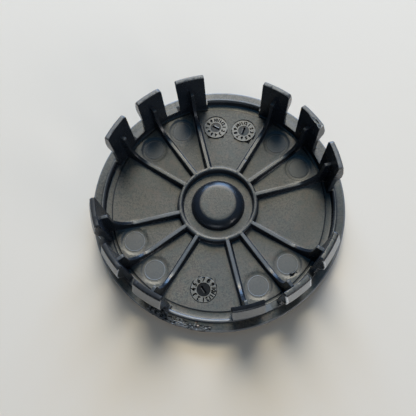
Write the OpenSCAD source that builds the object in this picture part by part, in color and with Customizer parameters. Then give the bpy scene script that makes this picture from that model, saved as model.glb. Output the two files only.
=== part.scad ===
// Snap-in centre cap for a road wheel, moulded in one piece.
// The front face looks down at Z = 0 and the snap fingers point up. All sizes are in millimetres.

/* [Fit in the wheel] */
// Diameter of the wheel bore that the cap snaps into
bore_d = 58; // [46:0.5:80]
// Gap on each side between the register ring and the bore
ring_gap = 0.2; // [0.1:0.05:0.5]
// How far each barb reaches out past the bore wall
barb_catch = 0.55; // [0.2:0.05:1]
// How far the face overlaps the rim of the bore
lip_w = 2; // [1.2:0.1:6]

/* [Face] */
// Thickness of the face disc
face_t = 2.1; // [1.6:0.1:3]
// Diameter of the flat land in the middle of the front
land_d = 20; // [12:1:30]
// Radius of the shallow crown around the land
crown_r = 260; // [180:10:600]
// Width of the rounded shoulder, from the crown to the outer edge
shoulder_w = 3.8; // [2:0.1:6]
// Height of the outer edge, where the cap is widest
edge_z = 3.4; // [2.8:0.1:3.7]
// Height of the seat that lies against the wheel
seat_z = 4.25; // [4:0.05:5]
// Rounding of the lip's edge beside the seat
lip_round = 0.4; // [0.1:0.05:0.5]

/* [Register ring] */
// Height of the ring above the seat
ring_h = 0.5; // [0.3:0.05:1.5]
// Thickness of the ring between two finger groups
ring_t = 0.8; // [0.6:0.05:2]
// Chamfer on the ring's outer edge
ring_chamfer = 0.1; // [0.05:0.05:0.2]
// Width of the groove inside the ring
groove_w = 1.5; // [1.1:0.1:2.5]
// Depth of the groove below the top of the ring
groove_depth = 1.75; // [1.4:0.05:2]
// Width of the bevel from the groove up to the floor
groove_bevel = 0.25; // [0.1:0.05:0.5]

/* [Snap fingers] */
// Number of finger groups
groups = 4; // [3:1:4]
// Angle from one finger to the next in a group
finger_pitch = 22.6; // [18:0.1:28]
// Width of the middle finger of a group
finger_w = 6.7; // [4:0.1:8]
// Width of the two outer fingers of a group
outer_finger_w = 7.1; // [4:0.1:8]
// Height of the tips above the seat
finger_h = 12.95; // [11:0.05:18]
// Thickness of a finger's plate
finger_t = 1.2; // [0.9:0.05:1.8]
// How far the fingers stand inside the ring's inner wall
finger_inset = 0.9; // [0.4:0.05:1.2]
// Thickness of a finger at its tip
tip_t = 0.85; // [0.6:0.05:1.1]
// Height and width of the bevel on the outer edge of each tip
tip_bevel = 0.35; // [0.1:0.05:0.5]
// Height of the lead-in slope, with that bevel, below the tip
lead_in_h = 3.9; // [2:0.1:5]
// Height of the barb's crest
crest_h = 1.9; // [0.6:0.1:2.5]
// Height of the slope that locks behind the bore's edge
lock_h = 1.8; // [1:0.1:2.5]
// Height and width of the root fillet outside each finger
root_fillet = 0.35; // [0.1:0.05:0.4]
// How far the wall behind a group reaches past the sides of its outer fingers
wall_reach = 0.25; // [0.1:0.05:1]
// How far that wall stands back from the fingers' inner faces
wall_setback = 0.06; // [0.04:0.01:0.2]
// How far the top of that wall lies below the top of the register ring
wall_drop = 0.05; // [0.03:0.01:0.2]
// Rounding of the finger's edges seen from its side
finger_edge_r = 0.12; // [0.05:0.01:0.2]
// Rounding of the two corners of each tip
tip_corner_r = 0.55; // [0.2:0.05:1]

/* [Ribs and gussets] */
// Width of a rib's crest
rib_w = 0.9; // [0.6:0.05:1.5]
// Width of a rib where it meets the floor
rib_root_w = 1.5; // [1:0.05:2.2]
// Height of the rib crests above the floor beside the hub
rib_h = 1.85; // [1.5:0.05:2.5]
// Thickness of a gusset
gusset_w = 0.8; // [0.5:0.05:1.4]
// Radius of the sweep from the rib up to the gusset's front edge
gusset_sweep_r = 5.5; // [3:0.1:7]
// How far the gusset's front edge stands off the finger at the top
gusset_top_w = 1.5; // [0.6:0.05:2]
// Further stand-off at the end of the sweep, which makes the front edge lean
gusset_lean = 0.2; // [0:0.05:0.5]
// How far the gusset stops short of the finger's tip
gusset_drop = 4.4; // [3:0.1:6]

/* [Hub] */
// Outer diameter of the hub ring at its crest
hub_d = 19.5; // [15:0.1:24]
// Thickness of the hub ring at its crest
hub_t = 0.85; // [0.6:0.05:1.5]
// Draft of each side of the hub ring down to the floor
hub_draft = 0.2; // [0.05:0.05:0.4]
// Diameter of the dome's foot in the middle
dome_d = 12.9; // [10:0.1:15]
// Diameter of the dome's nearly flat top
dome_top_d = 7.6; // [4:0.1:9]
// Height of the dome above the floor around it
dome_h = 2; // [1:0.1:3]

/* [Moulding marks] */
// Diameter of the round mark that an ejector pin leaves
pin_mark_d = 5.1; // [3:0.1:5.3]
// Distance of the ejector marks from the middle
pin_mark_r = 22.4; // [18:0.1:22.4]
// Depth of the ejector marks below the floor around them
pin_mark_depth = 0.07; // [0.04:0.01:0.3]
// Width of the thin rim round each ejector mark
pin_rim_w = 0.28; // [0.15:0.01:0.4]
// Diameter of the shallow bed that each ejector mark lies in
pin_bed_d = 6.6; // [6:0.1:7]
// Width of the gentle slope at the edge of that bed
pin_bed_slope = 0.4; // [0.2:0.05:0.6]
// Diameter of a date dial
dial_d = 6; // [4:0.1:7]
// Distance of the date dials from the middle
dial_r = 21.4; // [16:0.1:22]
// Directions of the date dials
dial_angles = [80.5, 100.3, 269.7];
// Height of the date dials above the floor at their middle
dial_rise = 0.1; // [0:0.01:0.3]
// Diameter of the turning core of a date dial
dial_core_d = 3; // [2:0.1:4]
// Depth of the turning core below its dial
dial_core_depth = 0.1; // [0.05:0.01:0.2]

/* [Hidden] */
$fn = 96;

// Fingers stand at these pitches from the middle of their group
FINGER_STEPS = [-1, 0, 1];
// Overlap that makes one feature part of the next
SINK = 0.6;
// Steps in each curve of the turned profiles
CURVE_STEPS = 10;
// Drop of the gusset's sweep below the rib crest, so that the sweep leaves the crest at an angle
SWEEP_DIP = 0.04;
// How far the barb's crest is rounded down at each end
CREST_DROP = 0.1;
// How far the root fillet runs on below the top of the register ring
FILLET_DIP = 0.08;
// How far the rim of an ejector mark stays below the floor
RIM_DROP = 0.01;
// Width of that rim's flat top
RIM_TOP_W = 0.1;

bore_r = bore_d / 2;
cap_r = bore_r + lip_w;
land_r = land_d / 2;
shoulder_r = cap_r - shoulder_w;
ring_ro = bore_r - ring_gap;
ring_ri = ring_ro - ring_t;
ring_z = seat_z + ring_h;
groove_z = ring_z - groove_depth;
floor_r = ring_ri - groove_w;
finger_ri = ring_ri - finger_inset;
finger_ro = finger_ri + finger_t;
crest_r = bore_r + barb_catch;
tip_z = seat_z + finger_h;
crest_z = tip_z - lead_in_h;
hub_ro = hub_d / 2;
hub_ri = hub_ro - hub_t;
crest_level = face_t + rib_h;
gusset_z = tip_z - gusset_drop;
sweep_end_r = finger_ri - gusset_top_w - gusset_lean;
sweep_start_r = sweep_end_r - gusset_sweep_r;

// How far the crown has risen above the land at radius r
function crown(r) = max(0, (r * r - land_r * land_r) / (2 * crown_r));
// Height of the inside floor at radius r
function floor_z(r) = face_t + crown(r);
// Middle direction of finger group g
function group_angle(g) = (g + 0.5) * 360 / groups;
// Values from a to b in even steps
function span(a, b) = [for (i = [0:CURVE_STEPS]) a + (b - a) * i / CURVE_STEPS];

// Half section of the face disc with its lip, register ring and groove
module disc_section() {
    front_crown = [for (r = span(land_r, shoulder_r)) [r, crown(r)]];
    shoulder_base = crown(shoulder_r);
    shoulder = [for (t = span(9, 90))
        [shoulder_r + shoulder_w * sin(t), shoulder_base + (edge_z - shoulder_base) * (1 - cos(t))]];
    lip = [for (t = span(0, 90))
        [cap_r - lip_round * (1 - cos(t)), seat_z - lip_round * (1 - sin(t))]];
    ring = [
        [ring_ro, seat_z], [ring_ro, ring_z - ring_chamfer], [ring_ro - ring_chamfer, ring_z],
        [ring_ri, ring_z], [ring_ri, groove_z], [floor_r + groove_bevel, groove_z]];
    inside = [for (r = span(floor_r, land_r)) [r, floor_z(r)]];
    polygon(concat([[0, 0]], front_crown, shoulder, lip, ring, inside, [[0, face_t]]));
}

module face_disc() {
    rotate_extrude() disc_section();
}

// Ring around the dome, drafted on both sides
module hub_ring() {
    foot = face_t - SINK;
    rotate_extrude()
        polygon([
            [hub_ri - hub_draft, foot], [hub_ro + hub_draft, foot],
            [hub_ro, crest_level], [hub_ri, crest_level]]);
}

// Button with a flat top and a round shoulder down to its foot
module dome() {
    foot = face_t - SINK;
    shoulder_w = (dome_d - dome_top_d) / 2;
    shoulder = [for (t = span(0, 90))
        [dome_top_d / 2 + shoulder_w * cos(t), face_t + dome_h * sin(t)]];
    rotate_extrude() polygon(concat([[0, foot], [dome_d / 2, foot]], shoulder, [[0, face_t + dome_h]]));
}

// Drafted rib from the hub ring out to the finger wall
module rib() {
    start = hub_ri + hub_t / 2;
    foot = face_t - SINK;
    // The root width holds at the floor beside the hub, and the sides run on straight below it
    flare = (rib_root_w - rib_w) / 2 * (crest_level - foot) / rib_h;
    translate([start, 0, 0])
        rotate([90, 0, 90])
            linear_extrude(finger_ri + finger_t / 2 - start)
                polygon([
                    [-rib_w / 2 - flare, foot], [rib_w / 2 + flare, foot],
                    [rib_w / 2, crest_level], [-rib_w / 2, crest_level]]);
}

// Curved web that sweeps up from the rib's crest and backs the finger
module gusset() {
    foot = crest_level - SINK;
    sweep_z = crest_level + gusset_sweep_r;
    sweep = [for (t = span(8, 90))
        [sweep_start_r + gusset_sweep_r * sin(t), sweep_z - (gusset_sweep_r + SWEEP_DIP) * cos(t)]];
    back_r = finger_ri + finger_t / 2;
    rotate([90, 0, 0])
        linear_extrude(gusset_w, center = true)
            polygon(concat(
                [[sweep[0][0], foot]], sweep,
                [[finger_ri - gusset_top_w, gusset_z], [back_r, gusset_z], [back_r, foot]]));
}

// Side view of a finger: plate, barb with lead-in and locking slope, root fillet
module finger_section() {
    foot = groove_z - SINK;
    offset(r = finger_edge_r, $fn = 24)
        offset(delta = -finger_edge_r)
            polygon([
                [finger_ri, foot],
                [finger_ro, foot],
                [finger_ro + root_fillet + FILLET_DIP, ring_z - FILLET_DIP],
                [finger_ro, ring_z + root_fillet],
                [finger_ro, crest_z - crest_h - lock_h],
                [crest_r - CREST_DROP, crest_z - crest_h],
                [crest_r, crest_z - crest_h / 2],
                [crest_r - CREST_DROP, crest_z],
                [finger_ri + tip_t + tip_bevel, tip_z - tip_bevel],
                [finger_ri + tip_t, tip_z],
                [finger_ri, tip_z]]);
}

// Front view of a finger of width w: parallel sides and rounded tip corners
module finger_outline(w) {
    offset(r = tip_corner_r, $fn = 32)
        translate([tip_corner_r - w / 2, 0])
            square([w - 2 * tip_corner_r, tip_z - tip_corner_r]);
}

module finger(w) {
    sweep_angle = 2 * asin(w / finger_ri) + 2;
    intersection() {
        rotate([0, 0, -sweep_angle / 2])
            rotate_extrude(angle = sweep_angle) finger_section();
        rotate([90, 0, 90])
            linear_extrude(cap_r) finger_outline(w);
    }
}

// Thicker wall that ties the roots of one group of fingers together
module group_wall() {
    half = finger_pitch + asin((outer_finger_w / 2 + wall_reach) / finger_ri);
    rotate([0, 0, -half])
        rotate_extrude(angle = 2 * half)
            translate([finger_ri + wall_setback, groove_z - SINK])
                square([finger_inset + ring_t / 2, ring_z - wall_drop - groove_z + SINK]);
}

// Space above a round flat that an insert of the mould leaves in the dished floor
module flat_clearing(d, r, rise) {
    translate([r, 0, floor_z(r) + rise]) cylinder(d = d, h = face_t);
}

// Material that carries such a flat where it stands above the floor
module flat_bed(d, r, rise) {
    depth = face_t / 2;
    translate([r, 0, floor_z(r) + rise - depth]) cylinder(d = d, h = depth);
}

// Space above an ejector mark: a round flat inside a thin rim, in a shallow bed with a gentle edge
module pin_mark_clearing() {
    pin_r = pin_mark_d / 2;
    bed_r = pin_bed_d / 2;
    bed = -pin_mark_depth;
    rim_r = pin_r - pin_rim_w / 2;
    rotate_extrude()
        polygon([
            [0, bed], [pin_r - pin_rim_w, bed],
            [rim_r - RIM_TOP_W / 2, -RIM_DROP], [rim_r + RIM_TOP_W / 2, -RIM_DROP], [pin_r, bed],
            [bed_r - pin_bed_slope / 2, bed], [bed_r + pin_bed_slope / 2, pin_mark_depth],
            [bed_r + pin_bed_slope / 2, face_t], [0, face_t]]);
}

// Puts its children on the floor, square to it, at every ejector mark
module at_pin_marks() {
    slope = atan(pin_mark_r / crown_r);
    for (g = [0:groups - 1], s = [-1, 1])
        rotate([0, 0, group_angle(g) + s * finger_pitch / 2])
            translate([pin_mark_r, 0, floor_z(pin_mark_r)])
                rotate([0, -slope, 0]) children();
}

module at_dials() {
    for (a = dial_angles)
        rotate([0, 0, a]) children();
}

module marked_disc() {
    difference() {
        union() {
            difference() {
                face_disc();
                at_pin_marks() pin_mark_clearing();
                at_dials() flat_clearing(dial_d, dial_r, dial_rise);
            }
            at_dials() flat_bed(dial_d, dial_r, dial_rise);
        }
        at_dials() flat_clearing(dial_core_d, dial_r, dial_rise - dial_core_depth);
    }
}

module centre_cap() {
    color([0.13, 0.135, 0.14]) {
        marked_disc();
        hub_ring();
        dome();
        for (g = [0:groups - 1]) {
            rotate([0, 0, group_angle(g)]) group_wall();
            for (s = FINGER_STEPS)
                rotate([0, 0, group_angle(g) + s * finger_pitch]) {
                    rib();
                    gusset();
                    finger(s == 0 ? finger_w : outer_finger_w);
                }
        }
    }
}

centre_cap();
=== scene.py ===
import math
import random
from collections import namedtuple

import bmesh
import bpy
import numpy as np
from mathutils import Matrix, Vector, noise


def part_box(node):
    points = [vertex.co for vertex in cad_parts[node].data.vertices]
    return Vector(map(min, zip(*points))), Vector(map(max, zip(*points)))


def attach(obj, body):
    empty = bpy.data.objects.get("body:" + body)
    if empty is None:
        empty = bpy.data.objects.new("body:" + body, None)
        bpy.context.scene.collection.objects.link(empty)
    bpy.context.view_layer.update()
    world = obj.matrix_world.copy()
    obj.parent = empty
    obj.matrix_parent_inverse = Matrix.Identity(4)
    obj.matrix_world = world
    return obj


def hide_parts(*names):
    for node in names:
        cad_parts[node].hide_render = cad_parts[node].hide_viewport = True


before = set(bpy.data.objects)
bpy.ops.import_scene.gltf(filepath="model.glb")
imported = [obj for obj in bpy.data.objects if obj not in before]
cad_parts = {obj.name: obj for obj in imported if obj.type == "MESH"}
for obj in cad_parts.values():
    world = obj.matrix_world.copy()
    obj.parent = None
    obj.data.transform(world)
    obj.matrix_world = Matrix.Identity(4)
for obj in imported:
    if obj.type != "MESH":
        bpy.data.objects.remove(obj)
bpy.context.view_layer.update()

random.seed(62)

# Lengths are written in millimetres and scaled once, when a mesh is made
MM = 0.001
NODE_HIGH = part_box("centre_cap")[1]
CAP_R = NODE_HIGH.x / MM
TIP_Z = NODE_HIGH.z / MM

# Face disc, lip and register ring
LIP_W = 2.0
BORE_R = CAP_R - LIP_W
FACE_T = 2.1
LAND_R = 10.0
CROWN_R = 260.0
SHOULDER_W = 3.8
EDGE_Z = 3.4
SEAT_Z = 4.25
LIP_ROUND = 0.4
RING_RO = BORE_R - 0.2
RING_RI = RING_RO - 0.8
RING_Z = SEAT_Z + 0.5
GROOVE_Z = RING_Z - 1.75
FLOOR_R = RING_RI - 1.5 - 0.25
SOFT_EDGE = 0.1
RING_ROUND = 0.5

# Snap fingers
GROUPS = 4
PER_GROUP = (-1, 0, 1)
FINGER_PITCH = 22.6
FINGER_W = 6.7
OUTER_FINGER_W = 7.1
FINGER_RI = RING_RI - 0.9
FINGER_T = 1.2
TIP_T = 0.85
TIP_BEVEL = 0.35
LEAD_IN_H = 3.9
CREST_R = BORE_R + 0.55
CREST_H = 1.9
LOCK_H = 1.8
TIP_EDGE = 0.12
WALL_REACH = 0.25
WALL_SETBACK = 0.06
WALL_DROP = 0.05

# Half the width of a group of fingers with its wall, and half the width of the wall's end face, in degrees; then the
# points round the body in a gap between two fingers of a group and in a wide gap between two groups
GROUP_HALF = FINGER_PITCH + math.degrees(math.asin((OUTER_FINGER_W / 2 + WALL_REACH) / FINGER_RI))
GROUP_EDGE = 0.07
GAP_STEPS = 14
WIDE_STEPS = 52

# Ribs, gussets and hub
RIB_W = 0.9
RIB_FLARE = 0.3 / 1.85
CREST_LEVEL = FACE_T + 1.85
ROOT_FILLET = 0.25
GUSSET_W = 0.8
SWEEP_R = 5.5
GUSSET_TOP_W = 1.5
GUSSET_LEAN = 0.2
GUSSET_Z = TIP_Z - 4.4
GUSSET_EDGE = 0.12
SWEEP_END = FINGER_RI - GUSSET_TOP_W - GUSSET_LEAN
SWEEP_START = SWEEP_END - SWEEP_R
THINNING = 2.5
HUB_RO = 9.75
HUB_RI = HUB_RO - 0.85
HUB_DRAFT = 0.2
DOME_R = 6.45
DOME_TOP_R = 3.8
DOME_H = 2.0

# Edges that stay sharp under smooth shading, in degrees: anywhere, and round the marks and dials, which lie in a belt
# between two radii
SHARP_ANGLE = 50
STEP_ANGLE = 10
STEP_BELT = (17, 26.5)

# Moulding marks
PIN_MARK_D = 5.1
PIN_MARK_R = 22.4
PIN_MARK_DEPTH = 0.07
PIN_RIM_W = 0.28
PIN_RIM_DROP = 0.01
PIN_RIM_TOP_W = 0.1
PIN_BED_D = 6.6
PIN_BED_SLOPE = 0.4
PIN_MARK_SIDES = (-1, 1)
DIAL_D = 6.0
DIAL_R = 21.4
DIAL_RISE = 0.1
DIAL_CORE_DEPTH = 0.1
DIAL_GAP = 0.2
DIAL_GAP_DEPTH = 0.13
ARROW_LENGTH = 2.2
ARROW_W = 0.5
RIDGE_ENDS = (-0.75, 0.6)
RIDGE_START = 0.2
RIDGE_H = 0.06
NUMBER_DEPTH = 0.3
NUMBER_BOLD = 0.055
NUMBER_GROW = 0.03
FIGURE_H = 0.7  # height of the font's figures at size 1

# A date dial, in degrees and millimetres: its direction, the diameter of its core, the height and ring radius of its
# numbers, the directions of number 1 and of its arrow, the side of the ridge beside the arrow, the ridge's width and
# the strength of the painted highlight on it, how pale the face is, how dark the core is, and whether the painted
# shade in the gap goes all the way round instead of only along its near side.
Dial = namedtuple("Dial", "angle core_d height ring_r first arrow side ridge_w ridge_rub pale dark ringed")
DIALS = [
    Dial(80.5, 2.9, 0.82, 2.12, 55, 79.3, 1, 0.12, 0.2, 0.7, 0.4, False),
    Dial(100.3, 2.8, 0.82, 2.12, 10, 158.6, -1, 0.2, 0.9, 0.7, 0.4, False),
    Dial(269.7, 3.3, 1.0, 2.32, 278.8, 133, 1, 0.12, 0.2, 1, 0.85, True)]

# Wear of each finger, in the order of finger_angles(). right and left round the tip's corners on its clockwise and
# anticlockwise side, lean and shift move the tip outwards and anticlockwise, worn takes the barb's crest back, edge
# rounds the long edges, and the last three are how pale the barb has been rubbed, which also sets the strength of
# its painted highlights, how far its edges are painted paler than its middle as a highlight, and how black the
# tip's top is painted as shade.
Wear = namedtuple("Wear", "right left lean shift worn edge rub frame tip")
WEAR = [
    Wear(0.35, 0.75, 0.0, 0.2, 0.4, 0.14, 0.7, 0.0, 0.0),
    Wear(0.4, 0.3, 0.0, 0.25, 0.0, 0.16, 1.2, 0.0, 0.0),
    Wear(0.7, 0.35, 0.0, 0.0, 0.0, 0.16, 1.1, 0.0, 0.0),
    Wear(0.2, 0.4, 0.0, 0.12, 0.0, 0.13, 0.6, 0.0, 0.0),
    Wear(0.9, 0.4, 0.0, 0.0, 0.0, 0.13, 0.7, 0.0, 0.0),
    Wear(0.7, 0.3, 0.1, 0.0, 0.3, 0.15, 0.8, 0.0, 0.0),
    Wear(0.4, 0.4, 0.0, 0.0, 0.1, 0.16, 0.3, 0.3, 0.4),
    Wear(0.4, 0.5, 0.1, 0.0, 0.0, 0.18, 1.4, 0.0, 0.4),
    Wear(0.3, 0.3, 0.0, 0.0, 0.0, 0.14, 0.7, 0.2, 0.55),
    Wear(0.25, 0.25, 0.0, 0.0, 0.3, 0.13, 0.66, 0.1, 0.9),
    Wear(0.35, 0.4, 0.5, 0.0, 0.0, 0.3, 1.3, 0.8, 0.1),
    Wear(0.6, 0.45, 0.1, 0.0, 0.0, 0.18, 1.35, 0.3, 0.0)]

# Damage. The gouged stretch of the lip runs between two directions, and its deep part ends sooner. A break has a
# name, a place (radius, direction, height), a size along the radius, round it and up, and a turn.
GOUGE_START = 247
GOUGE_END = 275
GOUGE_DEEP_END = 262
GOUGE_COUNT = 190
GOUGE_RIM_COUNT = 9
GOUGE_RIM_END = 268
GOUGE_TURN = 14
GOUGE_INNER_R = 28.9
GOUGE_OUTER_R = 31.1
GOUGE_NARROWING = 0.9
SEAT_END_R = 30.5
NIBBLE_COUNT = 7
NIBBLED_ANGLE = 67.6 - 7.55
STAINS = [(29.2, 269.2), (29.9, 270.0)]
STAIN_R = 0.4
TORN_DEPTH = 0.015
NICK_R = 24.93
NICK_ANGLE = 324.35
NICK_OUTLINE = [(-0.35, -0.53), (0.31, -0.25), (0.04, 0.78)]
NICK_DEPTH = 0.25
SCRATCH_ENDS = [(30.6, 203.2), (29.8, 206.5)]
SCRATCH_HALF = 0.08
SCRATCH_DEPTH = 0.04
SCRATCH_ANGLE = 205
CHIPPED_ANGLE = 42
Break = namedtuple("Break", "name r angle z size turn")
DEEP_GOUGES = [
    Break("gouge_deep_0", 29.75, 263.6, SEAT_Z, (0.42, 1.1, 0.4), 6),
    Break("gouge_deep_1", 30.4, 258.6, SEAT_Z, (0.35, 0.9, 0.4), -6)]
EDGE_GOUGES = [
    Break("gouge_edge_0", 31.05, 250.4, 3.6, (0.3, 0.55, 0.9), 0),
    Break("gouge_edge_1", 31.05, 256.0, 3.7, (0.2, 0.6, 0.7), 0),
    Break("gouge_edge_2", 30.6, 269.5, 4.25, (0.4, 0.4, 0.25), 0)]
OTHER_BREAKS = [
    Break("rib_nick", 13.6, 67.6, CREST_LEVEL + 0.12, (0.35, 0.5, 0.2), 0),
    Break("tip_chip_0", FINGER_RI - 0.05, 42.6, TIP_Z, (0.62, 1.65, 0.8), 0),
    Break("tip_chip_1", FINGER_RI - 0.05, 39.6, TIP_Z - 0.1, (0.45, 0.9, 0.9), 0)]

# What is painted on the faces, in the order of LAYERS, and how strongly: pale wear together with painted highlights;
# the smooth grey of an ejector mark, also a painted reflection on the far tips' tops; black and dull painted shade,
# also the dark of the dial cores; rough torn plastic with pale shreds; freedom from dust; the colour of a date dial;
# and brown stain. A pair is for the half near the camera and for the far half; on the ring it is for NEAR_ARC and for
# the rest.
LAYERS = ("rub", "mark", "cavity", "torn", "clean", "pale", "stain")
NearFar = namedtuple("NearFar", "near far")
BARB_RUB = 0.5
BARB_TOP_RUB = 0.12
BARB_EDGE_WEAR_AND_HIGHLIGHT = 0.8
BARB_FRAME_HIGHLIGHT = 0.9
BARB_FRAME_W = 0.42
BARB_CREST_WEAR_AND_HIGHLIGHT = 1.1
TIP_HIGHLIGHT = NearFar(0, 0.08)
TIP_REFLECTION = 0.9
DUSTY_TIP_CLEAN = 0.1
CHIP_WEAR_AND_HIGHLIGHT = 1.3
RIB_CLEAN = 0.7
RIB_TOP_HIGHLIGHT = NearFar(0.15, 0.02)
RIB_EDGE_HIGHLIGHT = NearFar(0.22, 0.1)
RING_CLEAN = NearFar(0.6, 0.1)
RING_HIGHLIGHT = NearFar(0.2, 0.05)
NEAR_ARC = (235, 305)
WALL_TOP_SHADE = 0.7
STEP_PAINTED_LIGHT = 0.08
LIP_RUB = 0.25
FRONT_RUB = 0.1
PIN_RIM_HIGHLIGHT = NearFar(0.3, 0.15)
PIN_BED_SHADE = NearFar(0.1, 0.25)
DIAL_EDGE_HIGHLIGHT = 0.5
DIAL_GAP_SHADE = 0.9
FAR_GOUGE_TORN = 0.6
SCRATCH_RUB = 0.9

# Colours of the plastic, of what lies on it, and of its painted highlights, painted reflection and painted shade
DUST_DARK = (0.016, 0.018, 0.018)
DUST_PALE = (0.086, 0.08, 0.064)
DUST_GREY = (0.03, 0.04, 0.044)
DUST_TEAL = (0.03, 0.045, 0.044)
DUST_TAN = (0.08, 0.062, 0.05)
BARE_DARK = (0.008, 0.012, 0.019)
BARE_PALE = (0.014, 0.019, 0.027)
# Smooth grey of the ejector marks, also used as a painted reflection on the far tips' tops
MARK_TONE = (0.046, 0.053, 0.061)
DIAL_DARK = (0.1, 0.098, 0.088)
DIAL_PALE = (0.17, 0.162, 0.14)
# Pale tone of wear and of painted highlights
WEAR_AND_HIGHLIGHT_TONE = (0.72, 0.75, 0.78)
SHRED_DARK = (0.004, 0.006, 0.009)
SHRED_PALE = (0.22, 0.24, 0.26)
STAIN_TONE = (0.08, 0.05, 0.042)
# Black of painted shade and of the dial cores
BLACK_AND_SHADE_TONE = (0.003, 0.004, 0.006)

# Floor and room round the cap
FLOOR_HALF = 700
FLOOR_TONE = (0.66, 0.6, 0.52)
ROOM_GLOW = (0.9, 0.95, 1.0)
ROOM_GLOW_STRENGTH = 0.02
ROOM_SEEN = (0.68, 0.67, 0.66)

# Area lamps round the cap, in metres and watts. Azimuth 90 is the far side of the photograph's view.
LAMP_DISTANCE = 0.9
Lamp = namedtuple("Lamp", "name azimuth elevation width height power colour")
LAMPS = [
    Lamp("lamp", 99, 57, 0.32, 0.3, 3.7, (1.0, 0.97, 0.8)),
    Lamp("low_lamp", 98, 46, 0.55, 0.4, 3.6, (1.0, 0.82, 0.6)),
    Lamp("window", 95, 25, 0.9, 0.55, 13.0, (0.36, 0.6, 1.0)),
    Lamp("ceiling", 98, 80, 0.45, 0.45, 0.6, (0.15, 0.55, 1.0)),
    Lamp("near_room", 278, 18, 0.7, 0.3, 1.3, (0.85, 0.92, 1.0)),
    Lamp("side_room", 328, 20, 0.4, 0.3, 2.4, (1.0, 0.97, 0.95))]

# The photograph's camera, fitted to the object: angles in degrees, lengths in millimetres
IMAGE_PX = 416
SENSOR_MM = 36.0
FOCAL_PX = 475.47
VIEW_ELEVATION = 71.34
VIEW_ROLL = -7.44
VIEW_DISTANCE = 121.08
VIEW_OFFSET = 2.586
VIEW_TURN = 16.22


def crown(r):
    """How far the crowned face has risen above its land at radius r."""
    return max(0.0, (r * r - LAND_R * LAND_R) / (2 * CROWN_R))


def floor_z(r):
    return FACE_T + crown(r)


def arc(cr, cz, radius, start, end, steps):
    """Points on an arc in the section plane, from the start angle to the end angle in degrees."""
    turns = [math.radians(start + (end - start) * i / steps) for i in range(steps + 1)]
    return [(cr + radius * math.cos(t), cz + radius * math.sin(t)) for t in turns]


def even(a, b, count):
    """count values from a to b, both included."""
    return [a + (b - a) * i / (count - 1) for i in range(count)]


def make_object(name, verts, faces):
    mesh = bpy.data.meshes.new(name)
    mesh.from_pydata([(x * MM, y * MM, z * MM) for x, y, z in verts], [], faces)
    obj = bpy.data.objects.new(name, mesh)
    bpy.context.scene.collection.objects.link(obj)
    return obj


def polar(r, angle, z):
    return (r * math.cos(angle), r * math.sin(angle), z)


def finger_angles():
    """Direction of every finger in degrees, group by group."""
    for g in range(GROUPS):
        for s in PER_GROUP:
            yield (g + 0.5) * 360 / GROUPS + s * FINGER_PITCH


def hub_rows():
    """Section from the middle of the dome out to the foot of the hub ring."""
    top = FACE_T + DOME_H
    rows = [(r, top) for r in (0.7, 1.5, 2.4, 3.2)]
    shoulder_w = DOME_R - DOME_TOP_R
    for t in even(90, 8, 12):
        a = math.radians(t)
        rows.append((DOME_TOP_R + shoulder_w * math.cos(a), FACE_T + DOME_H * math.sin(a)))
    rows += [(DOME_R + 0.03, FACE_T + 0.1), (DOME_R + 0.12, FACE_T + 0.02), (DOME_R + 0.25, FACE_T)]
    foot = HUB_RI - HUB_DRAFT
    rows += [(7.3, FACE_T), (8.0, FACE_T), (foot - 0.22, FACE_T), (foot - 0.06, FACE_T + 0.05), (foot, FACE_T + 0.2)]
    e = SOFT_EDGE
    rows += [(HUB_RI - 0.02, CREST_LEVEL - e), (HUB_RI + 0.3 * e, CREST_LEVEL - 0.3 * e), (HUB_RI + e, CREST_LEVEL)]
    rows += [(HUB_RO - e, CREST_LEVEL), (HUB_RO - 0.3 * e, CREST_LEVEL - 0.3 * e), (HUB_RO + 0.02, CREST_LEVEL - e)]
    foot = HUB_RO + HUB_DRAFT
    rows += [(foot - 0.01, FACE_T + 0.25), (foot + 0.06, FACE_T + 0.07), (foot + 0.25, FACE_T)]
    return rows


def sweep_radii():
    """Radii at which the gusset's rising front edge is sampled."""
    curve = [SWEEP_START + SWEEP_R * math.sin(math.radians(t)) for t in even(0, 90, 13)]
    lean = even(SWEEP_END, SWEEP_END + GUSSET_LEAN, 4)[1:]
    return curve + lean[:-1] + [lean[-1] - 0.01, lean[-1] + 0.03, lean[-1] + 0.12]


def floor_rows():
    radii = [11.0, 12.5, 14.0, 15.5, 17.0, 18.5] + sweep_radii()
    return [(r, floor_z(r)) for r in radii]


def wall_rows(inner_r, top, e):
    """Section across the groove and up the wall at inner_r to its top, whose inner edge is rounded by e."""
    edge = [
        (FLOOR_R - 0.06, floor_z(FLOOR_R - 0.06)), (FLOOR_R, floor_z(FLOOR_R)),
        (FLOOR_R + 0.05, floor_z(FLOOR_R) - 0.04), (FLOOR_R + 0.18, GROOVE_Z + 0.03),
        (FLOOR_R + 0.24, GROOVE_Z), (FLOOR_R + 0.34, GROOVE_Z)]
    return edge + [
        (inner_r - 0.16, GROOVE_Z), (inner_r - 0.05, GROOVE_Z + 0.05), (inner_r - 0.02, GROOVE_Z + 0.18),
        (inner_r + 0.01, top - e), (inner_r + 0.14 * e, top - 0.5 * e), (inner_r + 0.5 * e, top - 0.14 * e),
        (inner_r + e + 0.01, top)]


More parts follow.
